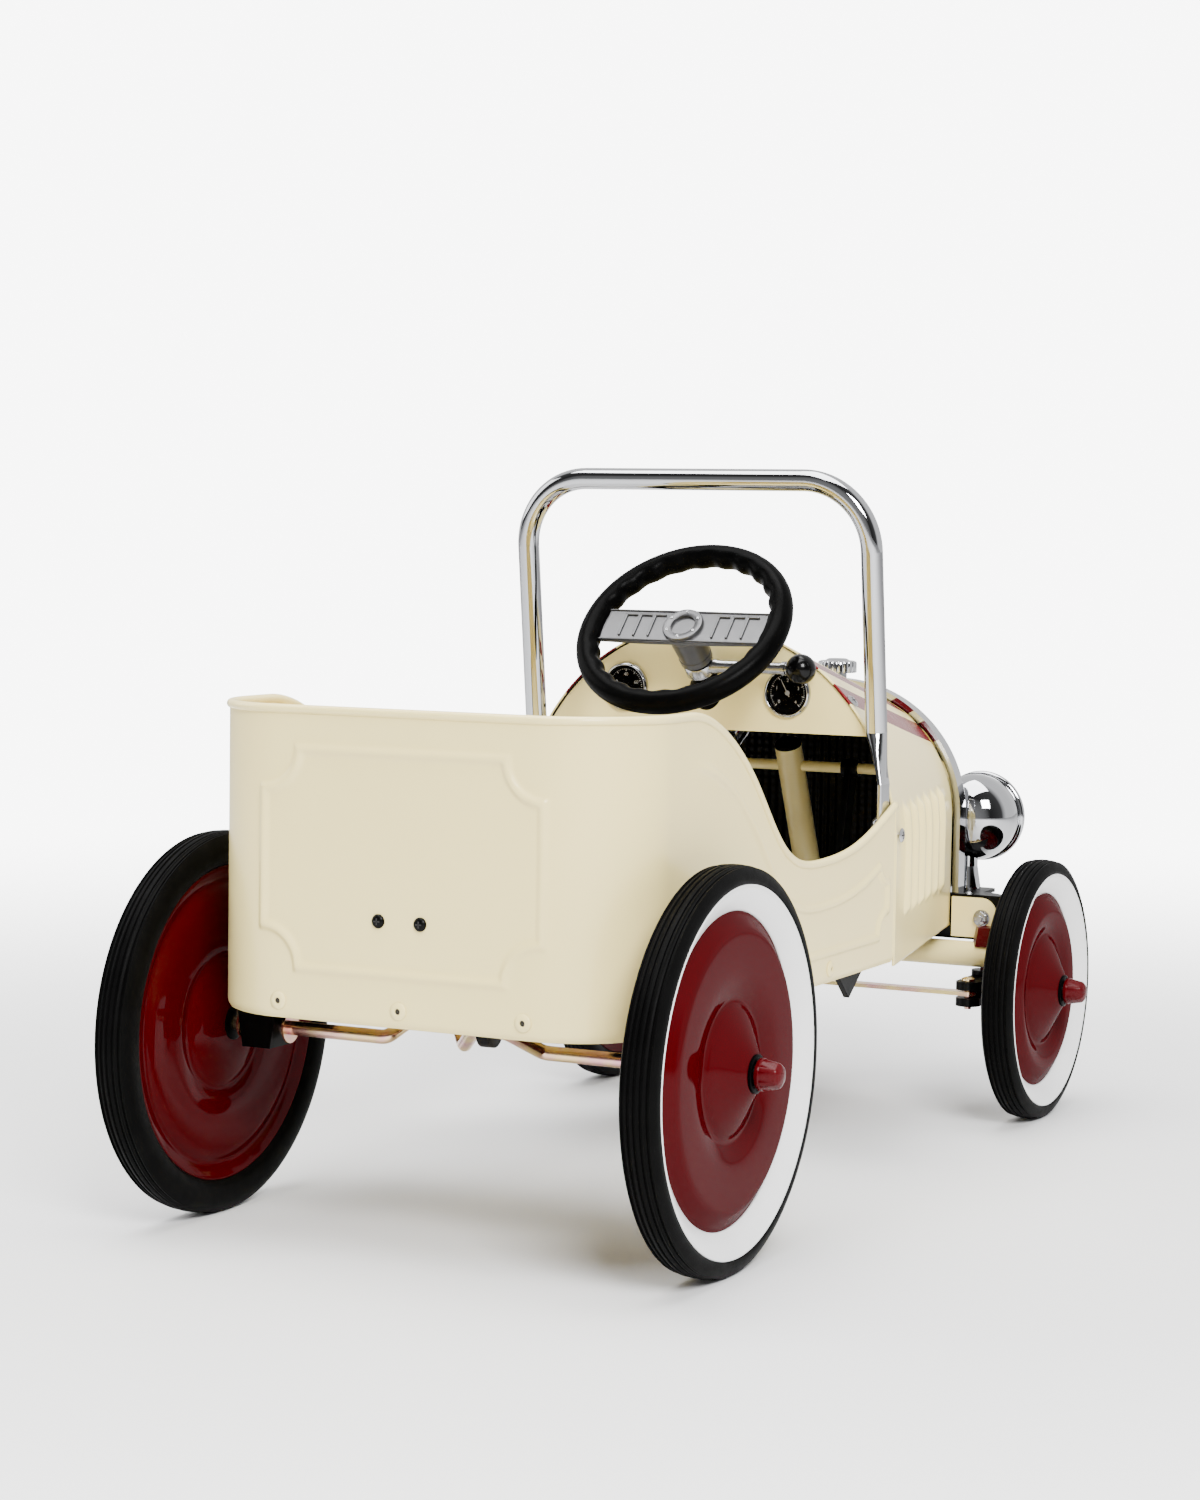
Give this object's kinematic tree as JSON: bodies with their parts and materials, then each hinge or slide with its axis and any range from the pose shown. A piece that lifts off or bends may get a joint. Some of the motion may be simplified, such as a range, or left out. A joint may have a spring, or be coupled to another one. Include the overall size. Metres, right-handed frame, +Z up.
{
  "type": "pedal car",
  "caption": "Child's vintage-style pedal car: pressed-steel tub and tapered hood on four dished disc wheels, hoop windshield, crank pedals and linked steering.",
  "frame": {"origin": "on the ground, under the middle of the car's length and width", "axes": "+Z up; the nose points to -Y; +X is the driver's left"},
  "size_m": [0.4244, 0.786, 0.474],
  "materials": {
    "cream_paint": "satin",
    "black_paint": "satin",
    "red_paint": "gloss",
    "chrome": "mirror",
    "steel": "satin",
    "zinc_yellow": "iridescent zinc plate",
    "silver_plastic": "silver paint",
    "black_plastic": "gloss",
    "hub_black": "matte",
    "gauge_black": "matte",
    "red_plastic": "gloss",
    "tyre_rubber": "matte",
    "white_rubber": "satin",
    "lamp_glass": "clear"
  },
  "bodies": {
    "chassis": {"body_tub": "cream_paint", "chassis_frame": "black_paint", "seat_pan": "cream_paint", "seat_screws": "black_paint", "body_screws": "cream_paint", "hood_panel": "cream_paint", "plated_screws": "chrome", "dash_panel": "cream_paint", "gauge_bezels": "chrome", "gauge_faces": "gauge_black", "windshield_frame": "chrome", "column_boot": "black_plastic", "radiator_shell": "chrome", "radiator_grille": "chrome", "radiator_cap": "chrome", "headlight_bar": "black_paint", "lug_plates": "cream_paint", "headlight_stands": "chrome", "headlight_bowls": "chrome", "headlight_lenses": "lamp_glass", "front_axle_beam": "cream_paint", "kingpins": "red_plastic", "upright_post": "cream_paint", "pedal_pivot_rod": "cream_paint", "bearing_blocks": "black_paint"},
    "rear_axle": {"rear_crank_axle": "zinc_yellow", "rear_left_tyre": "tyre_rubber", "rear_left_whitewall": "white_rubber", "rear_left_wheel_disc": "red_paint", "rear_left_hub_bush": "hub_black", "rear_left_hub_cap": "red_plastic", "rear_right_hub_cap": "red_plastic"},
    "rear_right_wheel": {"rear_right_tyre": "tyre_rubber", "rear_right_whitewall": "white_rubber", "rear_right_wheel_disc": "red_paint", "rear_right_hub_bush": "hub_black"},
    "pedal_rod_left": {"pedal_rod_left": "black_paint"},
    "pedal_rod_right": {"pedal_rod_right": "black_paint"},
    "pedal_left": {"pedal_arm_left": "black_paint", "pedal_pad_left": "black_plastic"},
    "pedal_right": {"pedal_arm_right": "black_paint", "pedal_pad_right": "black_plastic"},
    "steering": {"steering_rim": "black_plastic", "steering_spokes": "silver_plastic", "steering_column": "steel"},
    "gear_lever": {"gear_lever": "steel", "gear_lever_ball": "black_plastic"},
    "knuckle_left": {"knuckle_left": "black_paint", "front_left_hub_cap": "red_plastic"},
    "knuckle_right": {"knuckle_right": "black_paint", "front_right_hub_cap": "red_plastic"},
    "tie_rod": {"tie_rod": "zinc_yellow"},
    "front_left_wheel": {"front_left_tyre": "tyre_rubber", "front_left_whitewall": "white_rubber", "front_left_wheel_disc": "red_paint", "front_left_hub_bush": "hub_black"},
    "front_right_wheel": {"front_right_tyre": "tyre_rubber", "front_right_whitewall": "white_rubber", "front_right_wheel_disc": "red_paint", "front_right_hub_bush": "hub_black"}
  },
  "joints": [
    {"name": "rear_axle_spin", "type": "hinge", "parent": "chassis", "child": "rear_axle", "pos_m": [0, 0.273, 0.12], "axis": [1, 0, 0], "continuous": true},
    {"name": "rear_right_wheel_spin", "type": "hinge", "parent": "rear_axle", "child": "rear_right_wheel", "pos_m": [-0.174, 0.273, 0.12], "axis": [1, 0, 0], "continuous": true},
    {"name": "pedal_rod_left_turn", "type": "hinge", "parent": "rear_axle", "child": "pedal_rod_left", "pos_m": [0.028, 0.24702, 0.135], "axis": [1, 0, 0], "continuous": true},
    {"name": "pedal_rod_right_turn", "type": "hinge", "parent": "rear_axle", "child": "pedal_rod_right", "pos_m": [-0.034, 0.29898, 0.135], "axis": [1, 0, 0], "continuous": true},
    {"name": "pedal_left_swing", "type": "hinge", "parent": "chassis", "child": "pedal_left", "pos_m": [0.04, -0.23377, 0.258], "axis": [1, 0, 0], "range_deg": [-4, 30]},
    {"name": "pedal_right_swing", "type": "hinge", "parent": "chassis", "child": "pedal_right", "pos_m": [-0.046, -0.23377, 0.258], "axis": [1, 0, 0], "range_deg": [-30, 4]},
    {"name": "steering_turn", "type": "hinge", "parent": "chassis", "child": "steering", "pos_m": [0, -0.039, 0.3645], "axis": [0, 0.7071, 0.7071], "range_deg": [-21, 21]},
    {"name": "gear_lever_turn", "type": "hinge", "parent": "chassis", "child": "gear_lever", "pos_m": [0, -0.039, 0.3645], "axis": [0, 0.7071, 0.7071], "range_deg": [-25, 0]},
    {"name": "knuckle_left_turn", "type": "hinge", "parent": "chassis", "child": "knuckle_left", "pos_m": [0.134, -0.297, 0.096], "axis": [0, 0, 1], "range_deg": [-21, 21]},
    {"name": "knuckle_right_turn", "type": "hinge", "parent": "chassis", "child": "knuckle_right", "pos_m": [-0.134, -0.297, 0.096], "axis": [0, 0, 1], "range_deg": [-21, 21]},
    {"name": "tie_rod_turn", "type": "hinge", "parent": "knuckle_left", "child": "tie_rod", "pos_m": [0.134, -0.259, 0.094], "axis": [0, 0, 1], "range_deg": [-21, 21]},
    {"name": "front_left_wheel_spin", "type": "hinge", "parent": "knuckle_left", "child": "front_left_wheel", "pos_m": [0.174, -0.297, 0.096], "axis": [1, 0, 0], "continuous": true},
    {"name": "front_right_wheel_spin", "type": "hinge", "parent": "knuckle_right", "child": "front_right_wheel", "pos_m": [-0.174, -0.297, 0.096], "axis": [1, 0, 0], "continuous": true}
  ],
  "couplings": [
    {"joint": "pedal_rod_left_turn", "follows": "rear_axle_spin", "ratio": -1},
    {"joint": "pedal_rod_right_turn", "follows": "rear_axle_spin", "ratio": -1},
    {"joint": "knuckle_left_turn", "follows": "steering_turn", "ratio": 0.94},
    {"joint": "knuckle_right_turn", "follows": "steering_turn", "ratio": 0.94},
    {"joint": "tie_rod_turn", "follows": "steering_turn", "ratio": -0.94}
  ]
}
